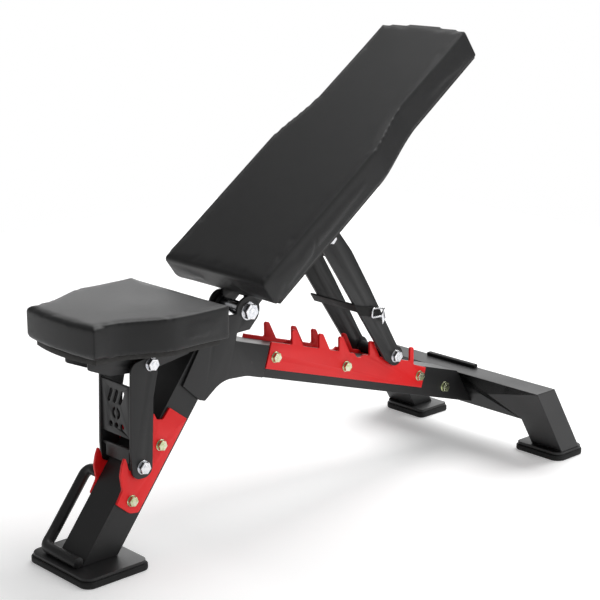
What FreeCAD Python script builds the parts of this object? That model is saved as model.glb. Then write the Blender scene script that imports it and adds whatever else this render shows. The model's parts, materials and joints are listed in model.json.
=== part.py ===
"""Adjustable weight bench: welded frame, hinged back with a toothed rack and strut, hinged seat with a link.

Millimetres. X is across the bench, Y runs from the seat (front) to the rear foot, Z is up from the floor.
Places are laid out from the seat pad's rear edge (y = 0) and every solid is moved along Y when it is
saved, so that the origin lies on the floor under the middle of the bench.
"""
import math
import os

import FreeCAD
import Part

V = FreeCAD.Vector

# ---- driving dimensions ----
SEAT_HEIGHT = 450.0      # floor to the top of the seat pad
PAD_WIDTH = 280.0        # widest part of both pads
BACK_LENGTH = 664.0      # back pad, along its face
BACK_ANGLE = 36.0        # back pad above level, strut in the rear notch
TUBE_WIDTH = 70.0        # leg and spine tube, across the bench
TUBE_DEPTH = 60.0
WALL = 3.0
PLATE = 5.0              # head, rack and bracket plates
STRUT_PLATE = 6.0
LEG_ANGLE = 52.5         # front leg above level
SPINE_SLOPE = 17.0       # spine below level, towards the rear
REAR_HALF_WIDTH = 242.0  # rear stabiliser
PIN_RADIUS = 12.0        # catch pin of the back strut
LINK_PIN_RADIUS = 8.0    # catch pin of the seat link

# ---- clearances ----
RUN = 0.05               # shaft in its hole, radial
SLIDE = 0.5              # faces that pass each other
FAR = 400.0              # reach of cutting bodies, beyond the bench on either side

SEAT_FOAM = 58.0
BACK_FOAM = 52.0
BOARD = 10.0
HALF_TUBE = TUBE_WIDTH / 2
RACK_FACE = HALF_TUBE + PLATE


# ---- drawing helpers ----
def turn(y, z, angle):
    a = math.radians(angle)
    return y * math.cos(a) - z * math.sin(a), y * math.sin(a) + z * math.cos(a)


class Axes2D:
    """A turned frame in the side view: s runs along it and h stands square to it."""

    def __init__(self, y, z, angle):
        self.y, self.z, self.angle = y, z, angle

    def __call__(self, s, h, radius=None):
        dy, dz = turn(s, h, self.angle)
        point = (self.y + dy, self.z + dz)
        return point if radius is None else point + (radius,)


def outline(points, plane="yz", level=0.0):
    """Closed wire through corners (a, b) or (a, b, radius), in the side view or the plan."""
    def place(a, b):
        return V(level, a, b) if plane == "yz" else V(a, b, level)
    corners = [(place(p[0], p[1]), p[2] if len(p) > 2 else 0.0) for p in points]
    edges, first, last = [], None, None
    for i, (corner, radius) in enumerate(corners):
        before, after = corners[i - 1][0], corners[(i + 1) % len(corners)][0]
        if radius > 0:
            u, w = (before - corner).normalize(), (after - corner).normalize()
            half = math.acos(max(-1.0, min(1.0, u.dot(w)))) / 2
            reach = radius / math.tan(half)
            start, end = corner + u * reach, corner + w * reach
            middle = corner + (u + w).normalize() * (radius / math.sin(half) - radius)
            arc = Part.Arc(start, middle, end).toShape()
        else:
            start = end = corner
            arc = None
        if last is not None and last.distanceToPoint(start) > 1e-6:
            edges.append(Part.LineSegment(last, start).toShape())
        if arc:
            edges.append(arc)
        first = first or start
        last = end
    if last.distanceToPoint(first) > 1e-6:
        edges.append(Part.LineSegment(last, first).toShape())
    return Part.Wire(Part.__sortEdges__(edges))


def slab(points, x0, x1):
    """Side-view outline as a plate from x0 to x1."""
    return Part.Face(outline(points, "yz", x0)).extrude(V(x1 - x0, 0, 0))


def sheet(points, z0, z1):
    """Plan outline as a plate from z0 to z1."""
    return Part.Face(outline(points, "xy", z0)).extrude(V(0, 0, z1 - z0))


def rod(centre, radius, x0, x1):
    """Cylinder along X."""
    return Part.makeCylinder(radius, x1 - x0, V(x0, centre[0], centre[1]), V(1, 0, 0))


def pipe(centre, outer, inner, x0, x1):
    return rod(centre, outer, x0, x1).cut(rod(centre, inner, x0 - 1, x1 + 1))


def box(x0, x1, y0, y1, z0, z1):
    return Part.makeBox(x1 - x0, y1 - y0, z1 - z0, V(x0, y0, z0))


def drill(shape, centre, radius):
    """Cut a hole along X right through, wider than its shaft by the running clearance."""
    return shape.cut(rod(centre, radius + RUN, -FAR, FAR))


def mirror(shape):
    return shape.mirror(V(0, 0, 0), V(1, 0, 0))


def fuse(*shapes):
    return shapes[0].multiFuse(list(shapes[1:])).removeSplitter()


def hexagon(centre, across, x0, x1):
    corners = [(centre[0] + across / math.sqrt(3) * math.cos(math.radians(60 * k)),
                centre[1] + across / math.sqrt(3) * math.sin(math.radians(60 * k))) for k in range(6)]
    return slab(corners, x0, x1)


def bolt(centre, radius, head_x, tip_x):
    """Shank along X from tip_x to head_x, with a washer face and a hexagon head beyond head_x."""
    shank = rod(centre, radius, tip_x, head_x + 1)
    washer = rod(centre, radius * 2.1, head_x, head_x + radius * 0.25)
    head = hexagon(centre, radius * 3.4, head_x + radius * 0.25, head_x + radius * 1.5)
    return fuse(shank, washer, head)


def nut(centre, radius, x):
    """Nut and its washer face, outside x on the -X side."""
    body = fuse(rod(centre, radius * 2.1, x - radius * 0.25, x),
                hexagon(centre, radius * 3.4, x - radius * 1.9, x - radius * 0.25))
    return body.cut(rod(centre, radius + RUN, x - radius * 3, x + 1))


def middle_y():
    """Half way between the front edge of the front foot and the rear edge of the rear feet."""
    return (FOOT_FRONT + rear_foot_centre() + REAR_FOOT_HALF) / 2


def save(node, shape):
    moved = shape.copy()
    moved.translate(V(0, -middle_y(), 0))
    moved.exportStep("parts/%s.step" % node)


def save_pair(node, near):
    save(node + "_right", near)
    save(node + "_left", mirror(near))


def group(shapes):
    return Part.makeCompound(shapes)


# ---- layout of the side view ----
PAD_UNDER = SEAT_HEIGHT - SEAT_FOAM
BOARD_UNDER = PAD_UNDER - BOARD
HEAD = (33.0, SEAT_HEIGHT - 114.0)                    # leg and spine centre lines meet here
LEG = Axes2D(HEAD[0], HEAD[1], LEG_ANGLE)             # s up the leg, h towards the front
SPINE = Axes2D(HEAD[0], HEAD[1], -SPINE_SLOPE)        # s down the spine, h up
HALF_DEPTH = TUBE_DEPTH / 2
FLOOR_PLATE = 6.0
FOOT_RUBBER = 12.0
SOLE = FLOOR_PLATE + FOOT_RUBBER                      # height of both feet
SEAT_HINGE = (52.0, SEAT_HEIGHT - 66.0)
BACK_HINGE = (125.0, SEAT_HEIGHT - 52.0)
BACK = Axes2D(75.0, SEAT_HEIGHT + 27.0, BACK_ANGLE)   # s up the pad from its lower edge, h out of its face
BACK_UNDER = -(BACK_FOAM + BOARD)
CROSS = 4.0              # flat cross members between board and beam
BEAM_DEPTH = 40.0
BEAM_UNDER = BACK_UNDER - CROSS - BEAM_DEPTH
STRUT_AT = 210.0         # up the pad
STRUT_HINGE = BACK(STRUT_AT, BEAM_UNDER - 13.0)
CATCH = SPINE(471.8, 44.5)                            # strut pin resting in the rear notch
LINK_HINGE = (-99.0, SEAT_HEIGHT - 102.0)
LINK_CATCH = (-122.0, SEAT_HEIGHT - 282.0)            # link pin resting in the lower notch
LEG_SOLE = (SOLE - HEAD[1]) / math.sin(math.radians(LEG_ANGLE))       # s where the leg meets its foot
BAR_TOP = 160.0                                       # rear stabiliser, top
BAR_OVER_SPINE = 28.5                                 # over the spine's centre line, at the bar's front edge
BAR_FRONT = HEAD[0] + (HEAD[1] - BAR_TOP + BAR_OVER_SPINE) / math.tan(math.radians(SPINE_SLOPE))
SPINE_END = (BAR_FRONT - HEAD[0]) / math.cos(math.radians(SPINE_SLOPE))


# ---- front leg and spine ----
OVERRUN = 200.0          # tubes are drawn this much too long, then cut where they meet


def tube_in(axes, s0, s1):
    """Rectangular tube along a side-view axis, as (outside, bore)."""
    def bar(half_x, half_h, a, b):
        return slab([axes(a, -half_h), axes(b, -half_h), axes(b, half_h), axes(a, half_h)], -half_x, half_x)
    outer = bar(HALF_TUBE, HALF_DEPTH, s0, s1)
    return outer, bar(HALF_TUBE - WALL, HALF_DEPTH - WALL, s0 - 5, s1 + 5)


def half_plane(axes, s0, s1, h0, h1):
    return slab([axes(s0, h0), axes(s1, h0), axes(s1, h1), axes(s0, h1)], -FAR, FAR)


def leg_tube():
    outer, bore = tube_in(LEG, LEG_SOLE - OVERRUN, OVERRUN)
    above_spine = half_plane(SPINE, -FAR, FAR, HALF_DEPTH, FAR)
    below_sole = box(-FAR, FAR, -2 * FAR, FAR, -FAR, SOLE)
    leg = outer.cut(bore).cut(above_spine).cut(below_sole)
    for centre in LEG_BOLTS:
        leg = drill(leg, centre, BOLT_RADIUS)
    return leg


def spine_tube():
    outer, bore = tube_in(SPINE, -40, SPINE_END + OVERRUN)
    leg_outer = tube_in(LEG, LEG_SOLE, OVERRUN)[0]
    spine = outer.cut(bore).cut(leg_outer).cut(rear_block(0)).cut(behind_rear_face())
    front_piece = half_plane(LEG, -FAR, FAR, 0, FAR)
    spine = spine.cut(front_piece)
    for centre in RACK_BOLTS + [SPINE_END_BOLT]:
        spine = drill(spine, centre, BOLT_RADIUS)
    return spine


# ---- rear stabiliser ----
BAR_DEPTH = 56.0         # front to back
BAR_UNDER = 78.0
REAR_LEG_WIDTH = 78.0
LEAN = 0.62              # rearward run for each unit of drop
REAR_FOOT_HALF = 45.0    # front to back
STRIP_ENDS = (-92.0, 40.0)
STRIP_DEPTH = 12.0
STRIP_HEIGHT = 7.0
SPIGOT_REACH = 90.0      # into the spine
SHOE_HALF = 58.0         # rear foot, across the bench
SHOE_OUT = 15.0          # rear foot's middle inboard of the leg's
SHOE_LIP = 3.0           # rubber beyond the steel plate, all round


def rear_section(inset):
    top, low = BAR_TOP - inset, SOLE
    def front(z):
        return BAR_FRONT + LEAN * (BAR_TOP - z)
    return [(front(top) + inset, top), (front(top) + BAR_DEPTH - inset, top),
            (front(low) + BAR_DEPTH - inset, low), (front(low) + inset, low)]


def rear_block(inset):
    """Bar and both legs as one leaning section with the opening between the legs cut out."""
    half = REAR_HALF_WIDTH - inset
    gap = REAR_HALF_WIDTH - REAR_LEG_WIDTH + inset
    block = slab(rear_section(inset), -half, half)
    return block.cut(box(-gap, gap, BAR_FRONT - FAR, BAR_FRONT + FAR, -10, BAR_UNDER + inset))


def behind_rear_face():
    rear = BAR_FRONT + 2 * FAR
    return slab([(BAR_FRONT - LEAN * FAR, BAR_TOP + FAR), (rear, BAR_TOP + FAR), (rear, BAR_TOP - FAR),
                 (BAR_FRONT + LEAN * FAR, BAR_TOP - FAR)], -FAR, FAR)


def spigot():
    """Stub of smaller tube that enters the spine."""
    s0, s1 = SPINE_END - SPIGOT_REACH, SPINE_END + OVERRUN
    def bar(half_x, half_h):
        return slab([SPINE(s0, -half_h), SPINE(s1, -half_h), SPINE(s1, half_h), SPINE(s0, half_h)],
                    -half_x, half_x)
    outer = bar(HALF_TUBE - WALL - SLIDE, HALF_DEPTH - WALL - SLIDE)
    inner = bar(HALF_TUBE - 2 * WALL - SLIDE, HALF_DEPTH - 2 * WALL - SLIDE)
    stub = outer.cut(inner).cut(behind_rear_face())
    return drill(stub, SPINE_END_BOLT, BOLT_RADIUS)


def rear_stabiliser():
    shell = rear_block(0).cut(rear_block(WALL))
    return fuse(shell, spigot())


def rear_foot_centre():
    return BAR_FRONT + LEAN * (BAR_TOP - SOLE) + BAR_DEPTH / 2 + 2


def rear_foot(rubber):
    """Steel plate under the leg, or the rubber shoe below it."""
    cx = REAR_HALF_WIDTH - REAR_LEG_WIDTH / 2 - SHOE_OUT
    cy, half_x, half_y = rear_foot_centre(), SHOE_HALF, REAR_FOOT_HALF
    corners = [(cx - half_x, cy - half_y, 12), (cx + half_x, cy - half_y, 22),
               (cx + half_x, cy + half_y, 22), (cx - half_x, cy + half_y, 12)]
    if rubber:
        return sheet(corners, 0, FOOT_RUBBER)
    inner = [(x + math.copysign(SHOE_LIP, cx - x), y + math.copysign(SHOE_LIP, cy - y), r - SHOE_LIP)
             for x, y, r in corners]
    return sheet(inner, FOOT_RUBBER, SOLE)


def stop_strip():
    back_edge = BAR_FRONT + BAR_DEPTH
    front_edge, top = back_edge - STRIP_DEPTH, BAR_TOP + STRIP_HEIGHT
    return slab([(front_edge, BAR_TOP), (back_edge, BAR_TOP), (back_edge, top, 2), (front_edge, top, 2)],
                *STRIP_ENDS)


# ---- head plates ----
EAR_RADIUS = 27.0
HINGE_BOLT = 8.0
SEAT_BOLT = 6.0


def head_plate():
    """Side plate over the joint of leg and spine, carrying both hinges."""
    under = -HALF_DEPTH
    drop = [(-27.0, HEAD[1] - 45.0, 2), (10.0, HEAD[1] - 79.0, 4), (22.0, HEAD[1] - 83.0, 2)]
    tail_low, tail_high = SPINE(140.0, under, 2), SPINE(140.0, HALF_DEPTH, 2)
    step = SPINE(56.0, HALF_DEPTH)
    body = drop + [(62.0, HEAD[1] - 54.0, 60), SPINE(100.0, under, 60), tail_low, tail_high, step,
                   (step[0] + 3, step[1] + 14, 3), (128.0, SEAT_HEIGHT - 87.0, 3),
                   (BACK_HINGE[0] + 19.0, BACK_HINGE[1] - 19.0), BACK_HINGE,
                   (96.0, SEAT_HEIGHT - 53.0, 4), (60.0, SEAT_HEIGHT - 51.0, 4),
                   (40.0, SEAT_HEIGHT - 54.0, 4)]
    plate = fuse(slab(body, HALF_TUBE, RACK_FACE),
                 rod(BACK_HINGE, EAR_RADIUS, HALF_TUBE, RACK_FACE),
                 rod(SEAT_HINGE, 16.0, HALF_TUBE, RACK_FACE))
    plate = drill(plate, BACK_HINGE, HINGE_BOLT)
    return drill(plate, SEAT_HINGE, SEAT_BOLT)


# ---- toothed racks ----
BOLT_RADIUS = 5.0
RACK_START = 143.0       # down the spine from HEAD
RACK_LENGTH = 439.0
RACK_LOW = -13.0         # below the spine's centre line
RACK_HEIGHT = 50.0
TEETH = (45.0, 117.0, 172.0, 258.0, 378.0)
TOOTH_RISE = 28.0
POCKET_AT = 237.0        # round pocket before the fourth tooth
POCKET_RADIUS = 15.0
PIN_ROOM = 0.6           # round a resting pin
RACK_BOLTS = [SPINE(RACK_START + s, RACK_LOW + 23.5) for s in (18.0, 208.0, 424.0)]
SPINE_END_BOLT = SPINE(SPINE_END - 41.5, -5.7)


def spine_rack():
    """Red side rack: a straight plate with hooked teeth, one round pocket for the resting pin."""
    def at(s, h, radius=None):
        return SPINE(RACK_START + s, RACK_LOW + h, radius)
    top = RACK_HEIGHT
    points = [at(0, 0), at(0, top)]
    for k, s in enumerate(TEETH):
        last = k == len(TEETH) - 1
        rear = 22.0 if last else 38.0
        points += [at(s + 9, top, 3), at(s, top + TOOTH_RISE, 4), at(s + 11, top + TOOTH_RISE, 5),
                   at(s + rear, top - (6 if last else 0), 5)]
    points += [at(RACK_LENGTH, top - 8), at(RACK_LENGTH, 0)]
    plate = slab(points, HALF_TUBE, RACK_FACE)
    plate = plate.cut(rod(at(POCKET_AT, top + 8), POCKET_RADIUS, 0, 60))
    plate = plate.cut(rod(CATCH, PIN_RADIUS + PIN_ROOM, 0, 60))
    for centre in RACK_BOLTS:
        plate = drill(plate, centre, BOLT_RADIUS)
    return plate


LEG_BOLTS = [LEG(-178.8, 3.0), LEG(-286.2, 3.0)]
LEG_RACK_REAR = -23.0    # behind the leg's centre line


def leg_rack():
    """Red plate on the leg with a hooked lower notch and an open upper one for the seat link."""
    def at(y, z, radius):
        return LINK_CATCH[0] + y, LINK_CATCH[1] + z, radius
    points = [LEG(-298.0, LEG_RACK_REAR, 6), LEG(-307.0, -6.0, 20), LEG(-305.0, 29.0, 3),
              LEG(-279.0, 32.0, 8), at(-44, -8, 14), at(-40, 10, 14), at(-33.5, 25, 2), at(-29, 13, 6),
              at(-26, -1, 8), at(-9, -9.5, 8), at(9, -9.5, 8), at(12, 20, 8), at(23, 55, 8),
              at(30, 91, 1.5), at(37, 75, 6), at(50, 73, 6), LEG(-116.0, 24.0, 2),
              LEG(-116.0, LEG_RACK_REAR, 2)]
    plate = slab(points, HALF_TUBE, RACK_FACE)
    plate = plate.cut(rod(LINK_CATCH, LINK_PIN_RADIUS + PIN_ROOM, 0, 60))
    for centre in LEG_BOLTS:
        plate = drill(plate, centre, BOLT_RADIUS)
    return plate


# ---- front foot ----
FOOT_MIDDLE = LEG(LEG_SOLE, 0.0)[0]
FOOT_FRONT = FOOT_MIDDLE - 66.0
FOOT_REAR = FOOT_MIDDLE + 66.0
FOOT_HALF_WIDTH = 88.0


def front_foot(rubber):
    inset = 0.0 if rubber else SHOE_LIP
    w, a, b = FOOT_HALF_WIDTH - inset, FOOT_FRONT + inset, FOOT_REAR - inset
    corners = [(-w, a, 20), (w, a, 20), (w, b + 4, 16), (-w, b + 4, 16)]
    return sheet(corners, 0, FOOT_RUBBER) if rubber else sheet(corners, FOOT_RUBBER, SOLE)


HANDLE_RADIUS = 10.0
HANDLE_GAP = 26.0        # clear, between the rack and the long run beside the leg
HANDLE_X = -(RACK_FACE + HANDLE_GAP + HANDLE_RADIUS)
HANDLE_FACE = 28.0       # its height over the leg's centre line


def foot_handle():
    """Bent rod from the side of the leg rack down beside the leg and across in front of its foot."""
    base_z = SOLE + HANDLE_RADIUS
    leg_front = LEG((base_z - HEAD[1]) / math.sin(math.radians(LEG_ANGLE)), 0.0)[0]
    base_y = leg_front - (HALF_DEPTH + HANDLE_RADIUS) / math.sin(math.radians(LEG_ANGLE)) - 1.0
    top, low = LEG(-266.0, HANDLE_FACE), LEG(LEG_SOLE + 12.8, HANDLE_FACE)
    route = [V(-RACK_FACE, top[0], top[1]), V(HANDLE_X, top[0], top[1]), V(HANDLE_X, low[0], low[1]),
             V(HANDLE_X + 14, base_y, base_z), V(HALF_TUBE, base_y, base_z)]
    return bent_rod(route, HANDLE_RADIUS, 16.0)


def bent_rod(route, radius, bend):
    """Round bar swept along straight runs joined by bends."""
    edges, last = [], route[0]
    for i in range(1, len(route) - 1):
        corner = route[i]
        u, w = (route[i - 1] - corner).normalize(), (route[i + 1] - corner).normalize()
        half = math.acos(max(-1.0, min(1.0, u.dot(w)))) / 2
        reach = min(bend / math.tan(half), 0.45 * (route[i - 1] - corner).Length,
                    0.45 * (route[i + 1] - corner).Length)
        r = reach * math.tan(half)
        start, end = corner + u * reach, corner + w * reach
        middle = corner + (u + w).normalize() * (r / math.sin(half) - r)
        edges += [Part.LineSegment(last, start).toShape(), Part.Arc(start, middle, end).toShape()]
        last = end
    edges.append(Part.LineSegment(last, route[-1]).toShape())
    path = Part.Wire(edges)
    profile = Part.Wire(Part.Circle(route[0], (route[1] - route[0]).normalize(), radius).toShape())
    return path.makePipeShell([profile], True, True)


# ---- back pad and its frame ----
BACK_WIDE_TO = 312.0
BACK_NARROW_FROM = 455.0
BACK_TOP_HALF = 113.0
HINGE_WASHER = 2.0       # between each back lug and its head plate
BEAM_HALF = HALF_TUBE - HINGE_WASHER - PLATE


def back_plan(inset):
    """Half outline of the back pad, x against length, as corner points."""
    wide, narrow = PAD_WIDTH / 2 - inset, BACK_TOP_HALF - inset
    return [(wide, inset), (wide, BACK_WIDE_TO), (wide - 2, BACK_WIDE_TO + 20),
            (narrow + 4, BACK_NARROW_FROM - 30), (narrow, BACK_NARROW_FROM), (narrow, BACK_LENGTH - inset)]


def pad_face(half_points, crown):
    """Face in a local plan: straight sides, S-curves, a bowed top end."""
    right = [V(x, y, 0) for x, y in half_points]
    left = [V(-x, y, 0) for x, y in half_points]
    (a, b, b2, c2, c, d) = right
    (la, lb, lb2, lc2, lc, ld) = left
    side = Part.BSplineCurve()
    side.interpolate([b, b2, (b2 + c2) * 0.5, c2, c])
    other = Part.BSplineCurve()
    other.interpolate([lb, lb2, (lb2 + lc2) * 0.5, lc2, lc])
    edges = [Part.LineSegment(la, a).toShape(), Part.LineSegment(a, b).toShape(), side.toShape(),
             Part.LineSegment(c, d).toShape(), Part.Arc(d, V(0, d.y + crown, 0), ld).toShape(),
             Part.LineSegment(ld, lc).toShape(), other.toShape(), Part.LineSegment(lb, la).toShape()]
    return Part.Face(Part.Wire(Part.__sortEdges__(edges)))


def soften(solid, radius, keep_below):
    """Round the long edges at the top of a pad."""
    edges = [e for e in solid.Edges if min(v.Z for v in e.Vertexes) > keep_below]
    return solid.makeFillet(radius, edges)


def on_back(shape):
    """Move a shape drawn flat (y up the pad, z out of its face) to the reclined back."""
    moved = shape.copy()
    moved.rotate(V(0, 0, 0), V(1, 0, 0), BACK_ANGLE)
    moved.translate(V(0, BACK.y, BACK.z))
    return moved


def back_pad():
    face = pad_face(back_plan(0.0), 10.0)
    foam = face.extrude(V(0, 0, BACK_FOAM))
    foam = soften(foam, 9.0, BACK_FOAM - 1)
    foam.translate(V(0, 0, -BACK_FOAM))
    return on_back(foam)


def back_board():
    face = pad_face(back_plan(6.0), 10.0)
    board = face.extrude(V(0, 0, BOARD))
    board.translate(V(0, 0, BACK_UNDER))
    return on_back(board)


def back_beam():
    """Box beam under the board."""
    s0, s1 = 30.0, BACK_LENGTH - 124.0
    top, low = BACK_UNDER - CROSS, BEAM_UNDER
    def bar(inset, reach):
        corners = [BACK(s0 - reach, low + inset), BACK(s1 + reach, low + inset),
                   BACK(s1 + reach, top - inset), BACK(s0 - reach, top - inset)]
        return slab(corners, -BEAM_HALF + inset, BEAM_HALF - inset)
    return bar(0, 0).cut(bar(WALL, 5))


CROSS_HALF = 95.0


def back_cross(s):
    """Flat cross member between the board and the beam."""
    corners = [BACK(s - 20, BACK_UNDER - CROSS), BACK(s + 20, BACK_UNDER - CROSS),
               BACK(s + 20, BACK_UNDER), BACK(s - 20, BACK_UNDER)]
    return slab(corners, -CROSS_HALF, CROSS_HALF)


def back_lug():
    """Hinge plate from the beam's side to the main hinge."""
    x0, x1 = BEAM_HALF, BEAM_HALF + PLATE
    top = BACK_UNDER - CROSS - 1.0
    arm = slab([BACK(-2.0, top - 17.0), BACK(12.0, top, 4), BACK(110.0, top, 4),
                BACK(110.0, BEAM_UNDER + 4.0, 10), BACK(2.0, BEAM_UNDER - 3.0, 4)], x0, x1)
    plate = fuse(arm, rod(BACK_HINGE, 18.0, x0, x1))
    return drill(plate, BACK_HINGE, HINGE_BOLT)


LUG_FACE = RACK_FACE
STRUT_WASHER = 5.0       # between each strut lug and its strut plate


def strut_lug():
    """Bracket from the beam to the strut's hinge, with a foot bent inwards to the beam."""
    x0, x1 = BEAM_HALF, LUG_FACE
    s, h, top = STRUT_AT, BEAM_UNDER - 13.0, BACK_UNDER - CROSS
    plate = slab([BACK(s - 42, top, 4), BACK(s + 42, top, 4), BACK(s + 30, h + 9, 6),
                  BACK(s + 14, h - 8), BACK(s - 14, h - 8), BACK(s - 30, h + 9, 6)], x1 - PLATE, x1)
    plate = fuse(plate, rod(STRUT_HINGE, 17.5, x1 - PLATE, x1))
    foot = slab([BACK(s - 36, top - 8), BACK(s + 36, top - 8), BACK(s + 36, top), BACK(s - 36, top)],
                x0, x1 - PLATE)
    lug = fuse(plate, foot)
    return drill(lug, STRUT_HINGE, STRUT_BOLT)


# ---- strut ----
STRUT_BOLT = 6.0
STRUT_IN = LUG_FACE + STRUT_WASHER
STRUT_OUT = STRUT_IN + STRUT_PLATE


STRUT_RUN, STRUT_DROP = CATCH[0] - STRUT_HINGE[0], CATCH[1] - STRUT_HINGE[1]
STRUT_LENGTH = math.hypot(STRUT_RUN, STRUT_DROP)
STRUT = Axes2D(STRUT_HINGE[0], STRUT_HINGE[1], math.degrees(math.atan2(STRUT_DROP, STRUT_RUN)))


def strut_plate():
    """Tapered flat bar, round at both ends; h is positive towards the rear."""
    points = [STRUT(0.0, STRUT_FRONT), STRUT(0.0, 24.0), STRUT(60.0, 29.0), STRUT(150.0, 25.0),
              STRUT(STRUT_LENGTH - 22.0, 15.0), STRUT(STRUT_LENGTH, 15.0), STRUT(STRUT_LENGTH, -20.0),
              STRUT(STRUT_LENGTH - 14.0, STRUT_FRONT)]
    plate = fuse(slab(points, STRUT_IN, STRUT_OUT), rod(STRUT_HINGE, 24.0, STRUT_IN, STRUT_OUT),
                 rod(CATCH, 19.5, STRUT_IN, STRUT_OUT))
    plate = drill(plate, STRUT_HINGE, STRUT_BOLT)
    return drill(plate, CATCH, STRUT_BOLT)


def strut_roller():
    return pipe(STRUT(46.0, 12.0), 17.0, 13.0, -STRUT_IN, STRUT_IN)


def catch_sleeve():
    return pipe(CATCH, PIN_RADIUS, STRUT_BOLT + RUN, -STRUT_IN, STRUT_IN)


STRUT_FRONT = -25.0      # front edge of both strut plates
STRAP_AT = 158.0         # down the strut from its hinge
STRAP_THICK = 4.0
WIRE_RADIUS = 1.8


def strut_strap():
    """Rubber strap across the front edges of both plates, turned back over the right one."""
    front = STRUT_FRONT - STRAP_THICK
    s0, s1 = STRAP_AT - 10, STRAP_AT + 10
    cross = slab([STRUT(s0, front), STRUT(s1, front), STRUT(s1, STRUT_FRONT), STRUT(s0, STRUT_FRONT)],
                 -STRUT_OUT - 14, STRUT_OUT + STRAP_THICK)
    tail = slab([STRUT(STRAP_AT - 10, front), STRUT(STRAP_AT + 2, -20.0), STRUT(STRAP_AT + 45, 20.0),
                 STRUT(STRAP_AT + 60, 10.0), STRUT(STRAP_AT + 22, -26.0), STRUT(STRAP_AT + 10, front)],
                STRUT_OUT, STRUT_OUT + STRAP_THICK)
    return fuse(cross, tail)


def strut_buckle():
    """Wire loop lying on the strap's tail, with a small hanging tab."""
    x = STRUT_OUT + STRAP_THICK + WIRE_RADIUS
    def at(s, h):
        return V(x, *STRUT(STRAP_AT + s, h))
    loop = bent_rod([at(60, 12), at(44, -9), at(30, 3), at(54, 27)], WIRE_RADIUS, 5.0)
    tab = slab([STRUT(STRAP_AT + 53, 24), STRUT(STRAP_AT + 58, 12), STRUT(STRAP_AT + 75, 5),
                STRUT(STRAP_AT + 70, 18)], STRUT_OUT + STRAP_THICK, x + WIRE_RADIUS)
    return fuse(loop, tab)


# ---- seat ----
SEAT_LENGTH = 254.0
SEAT_WIDE_TO = 104.0
SEAT_FRONT_HALF = 98.0


def seat_face(inset):
    wide, narrow = PAD_WIDTH / 2 - inset, SEAT_FRONT_HALF - inset
    half = [(wide, -inset), (wide, -SEAT_WIDE_TO), (wide - 4, -SEAT_WIDE_TO - 18),
            (narrow + 7, -SEAT_LENGTH + 68), (narrow, -SEAT_LENGTH + 34), (narrow, -SEAT_LENGTH + inset)]
    return pad_face(half, -11.0)


def seat_pad():
    foam = seat_face(0.0).extrude(V(0, 0, SEAT_FOAM))
    foam = soften(foam, 9.0, SEAT_FOAM - 1)
    foam.translate(V(0, 0, PAD_UNDER))
    return foam


def seat_board():
    board = seat_face(14.0).extrude(V(0, 0, BOARD))
    board.translate(V(0, 0, BOARD_UNDER))
    return board


BRACKET_HALF = HALF_TUBE - 1.0


def seat_bracket():
    """Channel under the seat board, pivoted between the head plates."""
    low, front = LINK_HINGE[1] - 14.0, -219.0
    hy, hz = SEAT_HINGE
    side = [(front, BOARD_UNDER), (front, low + 24.0, 5), (-177.0, low + 6.0, 12), (-112.0, low, 30),
            (-78.0, low, 30), (-6.0, low + 11.0, 10), (12.0, hz - 12.5, 4), (hy, hz - 12.5),
            (hy, hz + 13.0), (20.0, BOARD_UNDER + 2.0, 4), (-2.0, BOARD_UNDER)]
    def wall(x0, x1):
        plate = fuse(slab(side, x0, x1), rod(SEAT_HINGE, 13.0, x0, x1))
        plate = drill(plate, SEAT_HINGE, SEAT_BOLT)
        return drill(plate, LINK_HINGE, LINK_BOLT)
    web = box(-BRACKET_HALF + PLATE, BRACKET_HALF - PLATE, front, -20.0, BOARD_UNDER - PLATE, BOARD_UNDER)
    return fuse(wall(BRACKET_HALF - PLATE, BRACKET_HALF), wall(-BRACKET_HALF, -BRACKET_HALF + PLATE), web)


# ---- seat link ----
LINK_BOLT = 6.0
LINK_IN = RACK_FACE + 1.0
LINK_OUT = LINK_IN + PLATE
LINK_FRONT = LINK_CATCH[0] - 22.0


def link_plate():
    ty, tz = LINK_HINGE
    by, bz = LINK_CATCH
    points = [(LINK_FRONT + 2, tz + 6.0, 16), (ty + 8.0, tz + 16.0, 16), (ty + 14.0, tz - 14.0, 16),
              (ty + 3.0, tz - 60.0, 40), (by + 21.0, bz + 10.0, 12), (by + 19.0, bz - 20.0, 18),
              (LINK_FRONT, bz - 20.0, 18), (LINK_FRONT - 3.0, bz + 30.0, 40)]
    plate = slab(points, LINK_IN, LINK_OUT)
    plate = drill(plate, LINK_HINGE, LINK_BOLT)
    return drill(plate, LINK_CATCH, STUD_RADIUS)


PANEL_LOW, PANEL_HIGH = LINK_CATCH[1] + 52.0, LINK_CATCH[1] + 146.0
PANEL_Y = LINK_FRONT + 2.0


def pierced_panel():
    """Sheet between the link plates with a plain pattern of slots and rings."""
    t = 4.0
    panel = box(-LINK_IN, LINK_IN, PANEL_Y, PANEL_Y + t, PANEL_LOW, PANEL_HIGH)
    middle = (PANEL_LOW + PANEL_HIGH) / 2
    def hole(x, z, radius):
        return Part.makeCylinder(radius, t + 2, V(x, PANEL_Y - 1, z), V(0, 1, 0))
    def slot(x, z, length, angle):
        half = length / 2
        shape = fuse(box(x - 3.5, x + 3.5, PANEL_Y - 1, PANEL_Y + t + 1, z - half, z + half),
                     hole(x, z - half, 3.5), hole(x, z + half, 3.5))
        shape.rotate(V(x, PANEL_Y, z), V(0, 1, 0), angle)
        return shape
    for x in (-16.0, 0.0, 16.0):
        panel = panel.cut(slot(x, middle + 22.0, 20.0, 24.0))
        panel = panel.cut(hole(x, middle - 30.0, 5.0))
    ring = hole(0.0, middle - 8.0, 11.0).cut(hole(0.0, middle - 8.0, 6.0))
    bridge = box(-2.5, 2.5, PANEL_Y - 2, PANEL_Y + t + 2, middle - 22.0, middle + 6.0)
    return panel.cut(ring.cut(bridge))


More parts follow.
